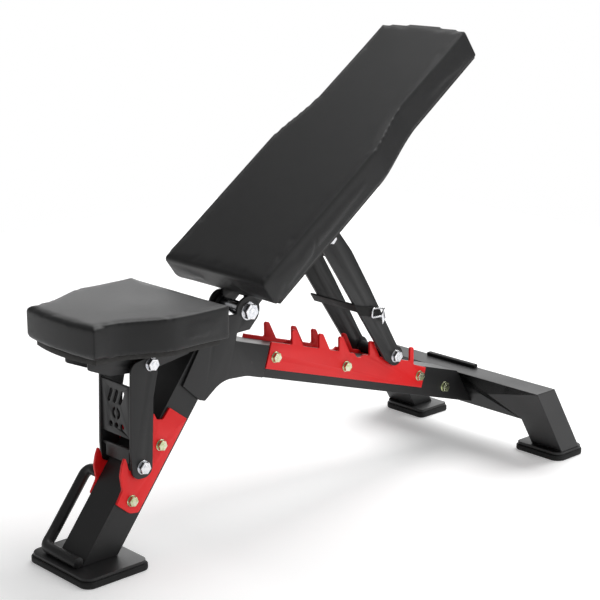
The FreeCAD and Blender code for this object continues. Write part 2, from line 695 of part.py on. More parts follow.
def link_cross():
    """Lower tie: a bar over the rack hooks with a narrow apron between them."""
    top = LINK_CATCH[1] + 33.0
    bar = box(-LINK_IN, LINK_IN, PANEL_Y, PANEL_Y + 4, top - 6, top)
    apron = box(-HALF_TUBE + 2, HALF_TUBE - 2, PANEL_Y, PANEL_Y + 4, top - 26, top - 6)
    return fuse(bar, apron)


# ---- fasteners ----
STUD_RADIUS = 6.0


def through_bolts(centres, radius, half_x):
    """Bolts with their heads on the right and matching nuts on the left."""
    bolts = [bolt(c, radius, half_x, -half_x - radius * 2.2) for c in centres]
    nuts = [nut(c, radius, -half_x) for c in centres]
    return group(bolts), group(nuts)


def link_studs():
    """Short bolts whose shouldered ends sit in the rack notches, one in each link plate."""
    shoulder = rod(LINK_CATCH, LINK_PIN_RADIUS, HALF_TUBE + 1.0, LINK_IN)
    near = fuse(bolt(LINK_CATCH, STUD_RADIUS, LINK_OUT, LINK_IN - 1), shoulder)
    return group([near, mirror(near)])


def save_bolts(name, centres, radius, half_x):
    bolts, nuts = through_bolts(centres, radius, half_x)
    save(name + "_bolts", bolts)
    save(name + "_nuts", nuts)


def build_fasteners():
    save_bolts("rack", RACK_BOLTS + LEG_BOLTS, BOLT_RADIUS, RACK_FACE)
    save_bolts("spine_end", [SPINE_END_BOLT], BOLT_RADIUS, HALF_TUBE)
    save_bolts("back_hinge", [BACK_HINGE], HINGE_BOLT, RACK_FACE)
    save_bolts("seat_hinge", [SEAT_HINGE], SEAT_BOLT, RACK_FACE)
    save_bolts("strut_hinge", [STRUT_HINGE], STRUT_BOLT, STRUT_OUT)
    save_bolts("catch", [CATCH], STRUT_BOLT, STRUT_OUT)
    save_bolts("link_hinge", [LINK_HINGE], LINK_BOLT, LINK_OUT)
    save("link_studs", link_studs())
    washers = [pipe(BACK_HINGE, 14.0, HINGE_BOLT + RUN, BEAM_HALF + PLATE, HALF_TUBE),
               pipe(STRUT_HINGE, 12.0, STRUT_BOLT + RUN, LUG_FACE, STRUT_IN)]
    save("hinge_washers", group(washers + [mirror(w) for w in washers]))
    spacer = pipe(LINK_HINGE, 11.0, LINK_BOLT + RUN, BRACKET_HALF, LINK_IN)
    save("link_spacers", group([spacer, mirror(spacer)]))
    save("back_hinge_tube", pipe(BACK_HINGE, 13.0, HINGE_BOLT + RUN, -BEAM_HALF, BEAM_HALF))
    inside = BRACKET_HALF - PLATE
    save("seat_hinge_tube", pipe(SEAT_HINGE, 10.0, SEAT_BOLT + RUN, -inside, inside))
    save("strut_hinge_tube", pipe(STRUT_HINGE, 11.0, STRUT_BOLT + RUN, -LUG_FACE + PLATE, LUG_FACE - PLATE))


# ---- main ----
def build():
    os.makedirs("parts", exist_ok=True)
    save("leg_tube", leg_tube())
    save("spine_tube", spine_tube())
    save_pair("head_plate", head_plate())
    save_pair("spine_rack", spine_rack())
    save_pair("leg_rack", leg_rack())
    save("rear_stabiliser", rear_stabiliser())
    save_pair("rear_foot_plate", rear_foot(False))
    save_pair("rear_foot_shoe", rear_foot(True))
    save("stop_strip", stop_strip())
    save("front_foot_plate", front_foot(False))
    save("front_foot_shoe", front_foot(True))
    save("foot_handle", foot_handle())
    save("back_pad", back_pad())
    save("back_board", back_board())
    save("back_beam", back_beam())
    save("back_cross_low", back_cross(80.0))
    save("back_cross_high", back_cross(BACK_LENGTH - 164.0))
    save_pair("back_lug", back_lug())
    save_pair("strut_lug", strut_lug())
    save_pair("strut_plate", strut_plate())
    save("strut_roller", strut_roller())
    save("catch_sleeve", catch_sleeve())
    save("strut_strap", strut_strap())
    save("strut_buckle", strut_buckle())
    save("seat_pad", seat_pad())
    save("seat_board", seat_board())
    save("seat_bracket", seat_bracket())
    save_pair("link_plate", link_plate())
    save("pierced_panel", pierced_panel())
    save("link_cross", link_cross())
    build_fasteners()


build()
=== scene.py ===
"""Weight bench looks: cushions, coated steel, plated fasteners and rubber, on the bench's fixed frame.

Metres, +Z up, the frame's own axes. Each operator makes one group of like pieces.
"""
import json
import math

import bmesh
import bpy
from mathutils import Matrix, Vector

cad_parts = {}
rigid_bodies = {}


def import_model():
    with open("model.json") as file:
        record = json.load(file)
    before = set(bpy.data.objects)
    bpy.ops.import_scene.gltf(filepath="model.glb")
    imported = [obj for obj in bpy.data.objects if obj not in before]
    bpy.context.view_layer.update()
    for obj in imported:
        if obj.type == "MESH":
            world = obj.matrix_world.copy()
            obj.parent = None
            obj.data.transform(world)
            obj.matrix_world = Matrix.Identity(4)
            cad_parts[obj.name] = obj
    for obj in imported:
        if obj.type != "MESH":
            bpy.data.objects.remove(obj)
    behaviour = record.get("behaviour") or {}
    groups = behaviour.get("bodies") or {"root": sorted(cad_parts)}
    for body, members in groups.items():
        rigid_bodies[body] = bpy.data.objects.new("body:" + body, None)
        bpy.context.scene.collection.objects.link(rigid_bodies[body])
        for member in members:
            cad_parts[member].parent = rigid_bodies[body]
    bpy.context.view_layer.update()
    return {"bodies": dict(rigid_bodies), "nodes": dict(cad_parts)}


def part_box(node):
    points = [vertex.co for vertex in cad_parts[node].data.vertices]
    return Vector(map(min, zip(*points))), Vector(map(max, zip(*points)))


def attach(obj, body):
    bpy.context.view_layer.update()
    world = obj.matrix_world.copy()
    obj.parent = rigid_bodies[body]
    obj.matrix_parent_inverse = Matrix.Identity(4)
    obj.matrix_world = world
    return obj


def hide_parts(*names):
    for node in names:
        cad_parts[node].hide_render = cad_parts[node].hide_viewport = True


bl_info = {
    "name": "Weight Bench Looks",
    "version": (1, 0, 0),
    "blender": (4, 5, 0),
    "location": "View3D > Sidebar > Bench",
    "description": "Cushions, finishes and fasteners for an adjustable weight bench",
    "category": "Object",
}

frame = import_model()
NODES = frame["nodes"]
UP, ACROSS = Vector((0, 0, 1)), Vector((1, 0, 0))


# ---- places read from the frame ----
SEAT_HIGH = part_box("seat_pad")[1]
RECLINE = math.radians(36.0)
BACK_AXIS = Vector((0, math.cos(RECLINE), math.sin(RECLINE)))
BACK_NORMAL = Vector((0, -math.sin(RECLINE), math.cos(RECLINE)))


# ---- pads, in metres, with places counted along a pad from its hinged end ----
SEAT_LENGTH = 0.254
SEAT_WAIST = (0.104, 0.222)       # where the seat narrows
BACK_WAIST = (0.314, 0.452)       # where the back narrows
BOW = 0.009                       # rise of a pad's curved end
UPPER_CORNER = 0.005              # radius of the upper edge at the seat's front and the back's foot
SEAT_CORNER, BACK_ROLL = 0.008, 0.026   # and of the lower edge there
SKIN = 0.004                      # mesh size of the cloth
FOAM_PRESSURE = 4.0
FOAM_STIFFNESS = 25
CLOTH_FRAMES = 20
SEAM_DEPTH = 0.0012
SEAM_REACH = 0.0034               # how far the pressing in and the painted shade reach from the sewn line
SEAM_STOP = 0.006                 # the line ends this short of the pad's end

# ---- fasteners ----
M10, M12, M16 = 0.005, 0.006, 0.008   # shank radii in metres; the sizes below are in shank radii
ACROSS_FLATS = 3.3
HEAD_HEIGHT, NUT_HEIGHT = 1.2, 1.5
FLANGE_HEIGHT, WASHER_HEIGHT = 0.26, 0.24
WASHER_RADIUS = 2.05
FRAME_HEAD = 1.5                  # height of the frame's plain heads with their washer face
TIP = 0.45                        # screw end beyond its nut
SUNK = 0.02                       # how far a screw end or dimple starts inside
HEX_TURN = 0.3                    # radians
ROUND_STEPS, FINE_STEPS = 24, 32  # steps round a turned piece


# ---- settings ----
class BenchPads(bpy.types.PropertyGroup):
    half_width: bpy.props.FloatProperty(
        name="Half width", description="Half of the widest part of both pads",
        default=SEAT_HIGH.x, min=0.05, max=0.3, unit="LENGTH")
    seat_front: bpy.props.FloatProperty(
        name="Seat front", description="Half width of the seat at its front", default=0.098,
        min=0.05, max=0.3, unit="LENGTH")
    seat_thick: bpy.props.FloatProperty(
        name="Seat foam", description="Thickness of the seat", default=0.058, min=0.02, max=0.12,
        unit="LENGTH")
    back_top: bpy.props.FloatProperty(
        name="Back top", description="Half width of the back at its upper end", default=0.113,
        min=0.05, max=0.3, unit="LENGTH")
    back_length: bpy.props.FloatProperty(
        name="Back length", description="Length of the back along its face", default=0.664,
        min=0.3, max=1.0, unit="LENGTH")
    back_thick: bpy.props.FloatProperty(
        name="Back foam", description="Thickness of the back, its board included", default=0.0615,
        min=0.02, max=0.12, unit="LENGTH")
    overhang: bpy.props.FloatProperty(
        name="Back overhang", description="How far the rolled lower end reaches past the board",
        default=0.006, min=0.0, max=0.02, unit="LENGTH")
    swell: bpy.props.FloatProperty(
        name="Swell", description="How far the foam may push its cover out", default=0.0018,
        min=0.0, max=0.02, unit="LENGTH")
    cover: bpy.props.FloatVectorProperty(
        name="Cover", description="Colour of the vinyl", subtype="COLOR", size=3,
        default=(0.0085, 0.0085, 0.009))


class BenchSteel(bpy.types.PropertyGroup):
    coat: bpy.props.FloatVectorProperty(
        name="Frame coat", description="Colour of the powder coat on the frame", subtype="COLOR",
        size=3, default=(0.0125, 0.0125, 0.013))
    red: bpy.props.FloatVectorProperty(
        name="Rack coat", description="Colour of the powder coat on the racks", subtype="COLOR",
        size=3, default=(0.80, 0.006, 0.008))
    rubber: bpy.props.FloatVectorProperty(
        name="Rubber", description="Colour of feet, stop and strap", subtype="COLOR", size=3,
        default=(0.006, 0.006, 0.006))
    tube_edge: bpy.props.FloatProperty(
        name="Tube edge", description="Edge radius of tubes", default=0.0014, min=0.0, max=0.005,
        unit="LENGTH")
    plate_edge: bpy.props.FloatProperty(
        name="Plate edge", description="Edge radius of cut plates", default=0.0007, min=0.0,
        max=0.003, unit="LENGTH")


class BenchView(bpy.types.PropertyGroup):
    lens: bpy.props.FloatProperty(
        name="Lens", description="Focal length in millimetres on a 36 mm sensor", default=93.926,
        min=20, max=300)
    azimuth: bpy.props.FloatProperty(
        name="Azimuth", description="Camera turn about the vertical", default=math.radians(46.874),
        unit="ROTATION")
    elevation: bpy.props.FloatProperty(
        name="Elevation", description="Camera height angle", default=math.radians(14.677),
        unit="ROTATION")
    place: bpy.props.FloatVectorProperty(
        name="Place", description="Camera position", subtype="XYZ", size=3,
        default=(2.06531, -1.94032, 1.12254))


# ---- materials ----
class Shader:
    """A principled material with helpers that add pattern nodes on Object coordinates."""

    def __init__(self, name, colour, metallic=0.0, roughness=0.5, **sockets):
        self.material = bpy.data.materials.new(name)
        self.material.use_nodes = True
        self.nodes, self.links = self.material.node_tree.nodes, self.material.node_tree.links
        self.base = self.nodes["Principled BSDF"]
        self.colour = (*colour, 1.0)
        self.set("Base Color", self.colour)
        self.set("Metallic", metallic)
        self.set("Roughness", roughness)
        for key, value in sockets.items():
            self.set(key.replace("_", " "), value)
        self.where = self.nodes.new("ShaderNodeTexCoord").outputs["Object"]
        self.height = None

    def set(self, socket, value):
        self.base.inputs[socket].default_value = value

    def join(self, a, b):
        self.links.new(a, b)

    def stretch(self, scale):
        node = self.nodes.new("ShaderNodeMapping")
        node.inputs["Scale"].default_value = scale
        self.join(self.where, node.inputs["Vector"])
        return node.outputs["Vector"]

    def noise(self, scale, detail=3.0, rough=0.5, vector=None):
        node = self.nodes.new("ShaderNodeTexNoise")
        node.inputs["Scale"].default_value = scale
        node.inputs["Detail"].default_value = detail
        node.inputs["Roughness"].default_value = rough
        self.join(vector or self.where, node.inputs["Vector"])
        return node.outputs["Fac"]

    def cells(self, scale):
        node = self.nodes.new("ShaderNodeTexVoronoi")
        node.feature = "DISTANCE_TO_EDGE"
        node.inputs["Scale"].default_value = scale
        self.join(self.where, node.inputs["Vector"])
        return node.outputs["Distance"]

    def spread(self, value, low, high, to_low, to_high):
        node = self.nodes.new("ShaderNodeMapRange")
        for key, number in (("From Min", low), ("From Max", high), ("To Min", to_low), ("To Max", to_high)):
            node.inputs[key].default_value = number
        self.join(value, node.inputs["Value"])
        return node.outputs["Result"]

    def tint(self, amount, other, source=None):
        """Mixes the colour so far towards another by a pattern."""
        node = self.nodes.new("ShaderNodeMix")
        node.data_type = "RGBA"
        node.inputs["A"].default_value = self.colour
        if source is not None:
            self.join(source, node.inputs["A"])
        node.inputs["B"].default_value = (*other, 1.0)
        self.join(amount, node.inputs["Factor"])
        result = node.outputs["Result"]
        self.join(result, self.base.inputs["Base Color"])
        return result

    def rough(self, value, low, high):
        self.join(self.spread(value, 0.3, 0.7, low, high), self.base.inputs["Roughness"])

    def bump(self, value, strength, distance):
        node = self.nodes.new("ShaderNodeBump")
        node.inputs["Strength"].default_value = strength
        node.inputs["Distance"].default_value = distance
        self.join(value, node.inputs["Height"])
        if self.height is not None:
            self.join(self.height, node.inputs["Normal"])
        self.height = node.outputs["Normal"]
        self.join(self.height, self.base.inputs["Normal"])

    def attribute(self, name):
        node = self.nodes.new("ShaderNodeAttribute")
        node.attribute_name = name
        return node.outputs["Fac"]


def powder_coat(name, colour, worn):
    """Baked coat: fine orange peel, faint cloudiness, a little rub on the high grain."""
    s = Shader(name, colour, roughness=0.42, Specular_IOR_Level=0.42)
    cloud = s.noise(6.0, 4.0)
    first = s.tint(s.spread(cloud, 0.35, 0.7, 0.0, 0.5), tuple(c * 1.22 for c in colour))
    rub = s.noise(38.0, 6.0, 0.7)
    s.tint(s.spread(rub, 0.66, 0.8, 0.0, 0.35), worn, first)
    s.rough(cloud, 0.36, 0.5)
    s.bump(s.noise(900.0, 2.0), 0.16, 0.0004)
    s.bump(s.noise(2600.0, 1.0), 0.1, 0.0002)
    return s.material


def vinyl(colour):
    """Grained vinyl: small pebbles, darker in the creases between them and along the sewn line, both
    painted shade.
    """
    s = Shader("Vinyl cover", colour, roughness=0.44, Specular_IOR_Level=0.42)
    cloud = s.noise(5.0, 4.0)
    first = s.tint(s.spread(cloud, 0.3, 0.75, 0.0, 0.55), tuple(c * 1.25 for c in colour))
    pebbles = s.cells(1150.0)
    # painted shade: the colour darkens in the creases between the pebbles
    crease_shade = s.tint(s.spread(pebbles, 0.0, 0.05, 0.35, 0.0), tuple(c * 0.45 for c in colour), first)
    # painted shade along the sewn line: near-black colour and almost no specular reflection there
    seam_shade_mask = s.attribute("seam_shade")
    s.tint(seam_shade_mask, (0.001, 0.001, 0.001), crease_shade)
    s.join(s.spread(seam_shade_mask, 0.0, 0.8, 0.42, 0.02), s.base.inputs["Specular IOR Level"])
    s.rough(cloud, 0.4, 0.5)
    s.bump(s.spread(pebbles, 0.0, 0.12, 0.0, 1.0), 0.28, 0.0003)
    s.bump(s.noise(60.0, 3.0), 0.1, 0.0012)
    return s.material


def rubber(name, colour):
    s = Shader(name, colour, roughness=0.68, Specular_IOR_Level=0.35)
    dust = s.noise(30.0, 6.0, 0.65)
    s.tint(s.spread(dust, 0.55, 0.85, 0.0, 0.4), (0.05, 0.048, 0.045))
    s.rough(dust, 0.6, 0.8)
    s.bump(s.noise(1400.0, 2.0), 0.25, 0.0003)
    return s.material


def plated(name, colour, tone, roughness):
    """Plated steel with turning marks and a faint second tone."""
    s = Shader(name, colour, metallic=1.0, roughness=roughness)
    patch = s.noise(160.0, 3.0)
    s.tint(s.spread(patch, 0.4, 0.65, 0.0, 0.8), tone)
    s.rough(patch, roughness * 0.7, roughness * 1.4)
    s.bump(s.noise(300.0, 2.0, vector=s.stretch((1.0, 8.0, 8.0))), 0.12, 0.0002)
    return s.material


def board(colour):
    s = Shader("Board face", colour, roughness=0.7)
    fibre = s.noise(90.0, 5.0, 0.6, s.stretch((6.0, 1.0, 6.0)))
    s.tint(s.spread(fibre, 0.4, 0.7, 0.0, 0.7), tuple(c * 2.0 for c in colour))
    s.bump(fibre, 0.25, 0.0005)
    return s.material


def plain_floor():
    s = Shader("Studio floor", (0.93, 0.93, 0.93), roughness=0.85, Specular_IOR_Level=0.0)
    s.set("Emission Color", (1.0, 1.0, 1.0, 1.0))
    s.set("Emission Strength", 0.26)
    s.tint(s.spread(s.noise(0.8, 2.0), 0.4, 0.6, 0.0, 0.3), (0.9, 0.9, 0.9))
    return s.material


FINISH = {}


def make_finishes(steel, pads):
    FINISH.update(
        frame_paint=powder_coat("Charcoal coat", tuple(steel.coat), (0.09, 0.09, 0.09)),
        red_paint=powder_coat("Red coat", tuple(steel.red), (0.75, 0.16, 0.14)),
        vinyl=vinyl(tuple(pads.cover)),
        board=board((0.018, 0.017, 0.016)),
        rubber=rubber("Black rubber", tuple(steel.rubber)),
        black_sleeve=rubber("Sleeve plastic", (0.014, 0.014, 0.015)),
        bright_steel=plated("Bright plate", (0.78, 0.78, 0.8), (0.6, 0.62, 0.66), 0.2),
        zinc=plated("Zinc plate", (0.66, 0.67, 0.5), (0.46, 0.54, 0.24), 0.26),
    )


# ---- mesh helpers ----
def new_piece(name, mesh, body, slot, smooth=True):
    """A piece at the origin, riding on a body, with the finish of its slot."""
    piece = bpy.data.objects.new(name, mesh)
    bpy.context.collection.objects.link(piece)
    mesh.materials.clear()
    mesh.materials.append(FINISH[slot])
    mesh.polygons.foreach_set("use_smooth", [smooth] * len(mesh.polygons))
    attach(piece, body)
    return piece


def finish_mesh(name, bm):
    """The mesh made of a bmesh, its faces all turned outwards."""
    bmesh.ops.recalc_face_normals(bm, faces=bm.faces)
    mesh = bpy.data.meshes.new(name)
    bm.to_mesh(mesh)
    bm.free()
    return mesh


def join(bm, other):
    """Adds the faces of another bmesh."""
    scratch = bpy.data.meshes.new("scratch")
    other.to_mesh(scratch)
    other.free()
    bm.from_mesh(scratch)
    bpy.data.meshes.remove(scratch)


def body_holding(node):
    """Name of the body that a node belongs to."""
    return next(name for name, empty in frame["bodies"].items() if NODES[node].parent == empty)


def node_copy(node):
    """The node's own surface, its triangles merged and its flat faces made whole."""
    bm = bmesh.new()
    bm.from_mesh(NODES[node].data)
    bmesh.ops.remove_doubles(bm, verts=bm.verts, dist=1e-5)
    bmesh.ops.dissolve_limit(bm, angle_limit=math.radians(0.6), verts=bm.verts, edges=bm.edges)
    return bm


def soft_edges(piece, width, segments=2):
    """Rounded edges on a finished piece."""
    bevel = piece.modifiers.new("Rounded edges", "BEVEL")
    bevel.width, bevel.segments, bevel.limit_method = width, segments, "ANGLE"
    bevel.angle_limit = math.radians(35)
    bevel.harden_normals = True
    bevel.use_clamp_overlap = False


def edged(node, slot, width, segments=2, curved=True):
    """A piece with the node's shape and rounded edges, in place of the node."""
    mesh = finish_mesh(node + "_edged", node_copy(node))
    piece = new_piece(node + "_edged", mesh, body_holding(node), slot, curved)
    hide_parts(node)
    soft_edges(piece, width, segments)


def turned(profile, centre, direction, steps=FINE_STEPS):
    """Solid of revolution about a line along X: profile points are (along, radius)."""
    bm = bmesh.new()
    verts = [bm.verts.new(centre + direction * a + UP * r) for a, r in profile]
    edges = [bm.edges.new(pair) for pair in zip(verts, verts[1:])]
    bmesh.ops.spin(bm, geom=verts + edges, cent=centre, axis=ACROSS, angle=2 * math.pi, steps=steps,
                   use_merge=True, use_duplicate=False)
    bmesh.ops.remove_doubles(bm, verts=bm.verts, dist=1e-6)
    bmesh.ops.holes_fill(bm, edges=[e for e in bm.edges if e.is_boundary], sides=0)
    bmesh.ops.recalc_face_normals(bm, faces=bm.faces)
    return bm


def bevelled(bm, edges, offset, segments):
    """Bevels the edges, with a round profile."""
    bmesh.ops.bevel(bm, geom=edges, offset=offset, segments=segments, profile=0.5, affect="EDGES",
                    material=-1)


def hex_head(centre, direction, across, height):
    """Hexagon with its outer corners turned down, standing on centre towards direction."""
    radius = across / math.sqrt(3)
    bm = bmesh.new()
    made = bmesh.ops.create_cone(bm, cap_ends=True, segments=6, radius1=radius, radius2=radius,
                                 depth=height)
    aim = direction.to_track_quat("Z", "Y").to_matrix().to_4x4()
    place = Matrix.Translation(centre + direction * (height / 2)) @ aim
    bmesh.ops.transform(bm, matrix=place @ Matrix.Rotation(HEX_TURN, 4, "Z"), verts=made["verts"])
    outer = [v for v in bm.verts if (v.co - centre).dot(direction) > height * 0.6]
    crown = [e for e in bm.edges if all(v in outer for v in e.verts)]
    bevelled(bm, crown, height * 0.14, 2)
    sides = [e for e in bm.edges if not e.is_boundary and e.calc_face_angle(0) > 0.6]
    bevelled(bm, sides, height * 0.03, 1)
    return bm


def threaded_end(centre, direction, radius, length):
    """Screw end with a chamfered tip."""
    pitch, profile = radius * 0.22, [(0.0, 0.0), (0.0, radius * 0.86)]
    turns = max(2, int(length / pitch) - 1)
    for k in range(turns):
        profile += [(pitch * (k + 0.25), radius * 0.985), (pitch * (k + 0.75), radius * 0.86)]
    profile += [(length, radius * 0.7), (length, 0.0)]
    return turned(profile, centre, direction, ROUND_STEPS)


def fastener(bm, centre, direction, radius, washer_at):
    """Flanged bolt head standing on washer_at along direction."""
    seat = centre + direction * washer_at
    flange = [(0.0, 0.0), (0.0, radius * WASHER_RADIUS), (radius * 0.12, radius * 2.1),
              (radius * FLANGE_HEIGHT, radius * 1.95), (radius * 0.3, 0.0)]
    join(bm, turned(flange, seat, direction))
    join(bm, hex_head(seat + direction * radius * FLANGE_HEIGHT, direction, radius * ACROSS_FLATS,
                      radius * HEAD_HEIGHT))
    dimple = [(0.0, 0.0), (0.0, radius * 1.0), (radius * 0.06, radius * 0.94), (radius * 0.06, 0.0)]
    join(bm, turned(dimple, seat + direction * radius * (FLANGE_HEIGHT + HEAD_HEIGHT - SUNK),
                    direction, ROUND_STEPS))


def nut_end(bm, centre, direction, radius, washer_at, reach):
    """Nut with the bolt's threaded end showing."""
    seat = centre + direction * washer_at
    thick, rim_radius = radius * WASHER_HEIGHT, radius * WASHER_RADIUS
    join(bm, turned([(0.0, 0.0), (0.0, rim_radius), (thick, rim_radius), (thick, 0.0)], seat, direction))
    join(bm, hex_head(seat + direction * thick, direction, radius * ACROSS_FLATS, radius * NUT_HEIGHT))
    join(bm, threaded_end(seat + direction * radius * (WASHER_HEIGHT + NUT_HEIGHT - SUNK),
                          direction, radius, reach))


def islands(node):
    """Lowest and highest corners of each of the node's separate solids."""
    bm = node_copy(node)
    bm.verts.ensure_lookup_table()
    left, found = set(bm.verts), []
    while left:
        stack, island = [next(iter(left))], set()
        while stack:
            v = stack.pop()
            if v in island:
                continue
            island.add(v)
            stack += [e.other_vert(v) for e in v.link_edges]
        left -= island
        low = Vector(min(v.co[k] for v in island) for k in range(3))
        high = Vector(max(v.co[k] for v in island) for k in range(3))
        found.append((low, high))
    bm.free()
    return sorted(found, key=lambda pair: (round(pair[0].y, 5), round(pair[0].z, 5)))


# ---- pads ----
def blend_width(wide, narrow, start, end, s):
    """Half width that eases from wide to narrow between start and end."""
    t = min(1.0, max(0.0, (s - start) / (end - start)))
    return wide + (narrow - wide) * t * t * (3 - 2 * t)


def pad_blank(half_width, length, bow, thick, columns, rows):
    """Flat blank: x across, y along from 0, its face at z = 0 and its foam below."""
    bm = bmesh.new()
    bmesh.ops.create_grid(bm, x_segments=columns, y_segments=rows, size=0.5)
    for v in bm.verts:
        u, s = v.co.x * 2, (v.co.y + 0.5)
        width = half_width(s * length)
        v.co = Vector((u * width, s * (length + bow * (1 - u * u)), 0))
    top = list(bm.faces)
    grown = bmesh.ops.extrude_face_region(bm, geom=top)
    low = [g for g in grown["geom"] if isinstance(g, bmesh.types.BMVert)]
    bmesh.ops.translate(bm, vec=(0, 0, -thick), verts=low)
    bmesh.ops.recalc_face_normals(bm, faces=bm.faces)
    return bm


def rim(bm, test):
    """Edges between a flat face and a side that pass a test on their middle."""
    found = []
    for e in bm.edges:
        if len(e.link_faces) != 2:
            continue
        a, b = (abs(f.normal.z) for f in e.link_faces)
        if (a > 0.9) != (b > 0.9) and test((e.verts[0].co + e.verts[1].co) / 2):
            found.append(e)
    return found


def at_face(p):
    return p.z > -0.01


def at_underside(p):
    return p.z < -0.03


def round_rim(bm, test, radius, segments):
    """Rounds the rim edges that pass the test."""
    bmesh.ops.bevel(bm, geom=rim(bm, test), offset=radius, segments=segments, profile=0.5,
                    affect="EDGES", clamp_overlap=True, material=-1)


def bake_modifiers(piece):
    """Replaces the mesh by its finished form."""
    graph = bpy.context.evaluated_depsgraph_get()
    graph.update()
    done = bpy.data.meshes.new_from_object(piece.evaluated_get(graph), depsgraph=graph)
    piece.modifiers.clear()
    piece.data = done


def swell_cloth(piece, cap):
    """Foam pressure on the cover, no point moving further than cap."""
    rest = [v.co.copy() for v in piece.data.vertices]
    settings = piece.modifiers.new("Foam", "CLOTH").settings
    settings.use_pressure = True
    settings.uniform_pressure_force = FOAM_PRESSURE
    settings.effector_weights.gravity = 0.0
    settings.tension_stiffness = settings.compression_stiffness = FOAM_STIFFNESS
    settings.quality = 5
    scene = bpy.context.scene
    for number in range(1, CLOTH_FRAMES + 1):
        scene.frame_set(number)
    bake_modifiers(piece)
    scene.frame_set(1)
    for v, before in zip(piece.data.vertices, rest):
        moved = v.co - before
        if moved.length > cap:
            v.co = before + moved.normalized() * cap


def press_seam(mesh, gap):
    """Presses the sewn line in and marks it for the painted shade in the cover's material."""
    marks = mesh.attributes.new("seam_shade", "FLOAT", "POINT")
    values = []
    for v in mesh.vertices:
        near = math.exp(-(gap(v.co) / SEAM_REACH) ** 2)
        values.append(near)
        if near > 0.01:
            v.co -= v.normal * SEAM_DEPTH * near
    marks.data.foreach_set("value", values)


def stuffed(name, bm, place, node, cap, gap):
    """Cushion from a blank: an even skin, the cloth pass, a finer skin and the sewn line."""
    mesh = finish_mesh(name, bm)
    piece = bpy.data.objects.new(name, mesh)
    bpy.context.collection.objects.link(piece)
    remesh = piece.modifiers.new("Even skin", "REMESH")
    remesh.mode, remesh.voxel_size, remesh.use_smooth_shade = "VOXEL", SKIN, True
    settle = piece.modifiers.new("Even out", "SMOOTH")
    settle.factor, settle.iterations = 0.5, 1
    bake_modifiers(piece)
    swell_cloth(piece, cap)
    finer = piece.modifiers.new("Finer skin", "SUBSURF")
    finer.levels = finer.render_levels = 1
    bake_modifiers(piece)
    press_seam(piece.data, gap)
    piece.data.transform(place)
    piece.data.update()
    mesh = piece.data
    bpy.data.objects.remove(piece)
    piece = new_piece(name, mesh, body_holding(node), "vinyl")
    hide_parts(node)


def outline_gap(half_width, length):
    """Distance of a point from the pad's upper side edges."""
    def gap(p):
        s = min(length, max(0.0, p.y))
        return math.hypot(abs(p.x) - half_width(s), p.z)
    return gap


def seat_width(pads):
    """The seat's half width at a distance along it."""
    return lambda s: blend_width(pads.half_width, pads.seat_front, *SEAT_WAIST, s)


def back_width(pads):
    """The back's half width at a distance along it."""
    return lambda s: blend_width(pads.half_width, pads.back_top, *BACK_WAIST, s)


def seat_place():
    """Blank frame to bench: y along the pad runs forwards from the seat's rear edge."""
    turn = Matrix.Rotation(math.pi, 4, "Z")
    return Matrix.Translation((0, SEAT_HIGH.y, SEAT_HIGH.z)) @ turn


def back_place():
    """Blank frame to bench: y runs up the reclined back, z out of its face."""
    points = [v.co for v in NODES["back_pad"].data.vertices]
    along, out = min(p.dot(BACK_AXIS) for p in points), max(p.dot(BACK_NORMAL) for p in points)
    start = BACK_AXIS * along + BACK_NORMAL * out
    return Matrix.Translation(start) @ Matrix.Rotation(RECLINE, 4, "X")


class BENCH_OT_seat(bpy.types.Operator):
    """Make the seat cushion with its sewn sides"""
    bl_idname = "bench.seat"
    bl_label = "Seat cushion"

    def execute(self, context):
        pads = context.scene.bench_pads
        width = seat_width(pads)
        inset, front = pads.swell, SEAT_LENGTH - 0.02
        blank = pad_blank(lambda s: width(s) - inset, SEAT_LENGTH - inset, BOW,
                          pads.seat_thick - inset, 22, 22)
        round_rim(blank, lambda p: at_face(p) and p.y > front, UPPER_CORNER, 3)
        round_rim(blank, lambda p: at_underside(p) and p.y > front, SEAT_CORNER, 3)
        place = seat_place() @ Matrix.Translation((0, 0, -inset / 2))
        stuffed("seat_cushion", blank, place, "seat_pad", pads.swell,
                outline_gap(width, SEAT_LENGTH - SEAM_STOP))
        return {"FINISHED"}


class BENCH_OT_back(bpy.types.Operator):
    """Make the back cushion with its sewn sides and rolled lower end"""
    bl_idname = "bench.back"
    bl_label = "Back cushion"

    def execute(self, context):
        pads = context.scene.bench_pads
        width = back_width(pads)
        length, inset, over = pads.back_length, pads.swell, pads.overhang
        blank = pad_blank(lambda s: width(s - over) - inset, length + over - inset, BOW,
                          pads.back_thick - inset, 22, 40)
        round_rim(blank, lambda p: at_face(p) and p.y < 0.01, UPPER_CORNER, 3)
        round_rim(blank, lambda p: at_underside(p) and p.y < 0.01, BACK_ROLL, 6)
        place = back_place() @ Matrix.Translation((0, inset - over, -inset / 2))
        stuffed("back_cushion", blank, place, "back_pad", pads.swell,
                outline_gap(lambda s: width(s - over), length - SEAM_STOP))
        return {"FINISHED"}


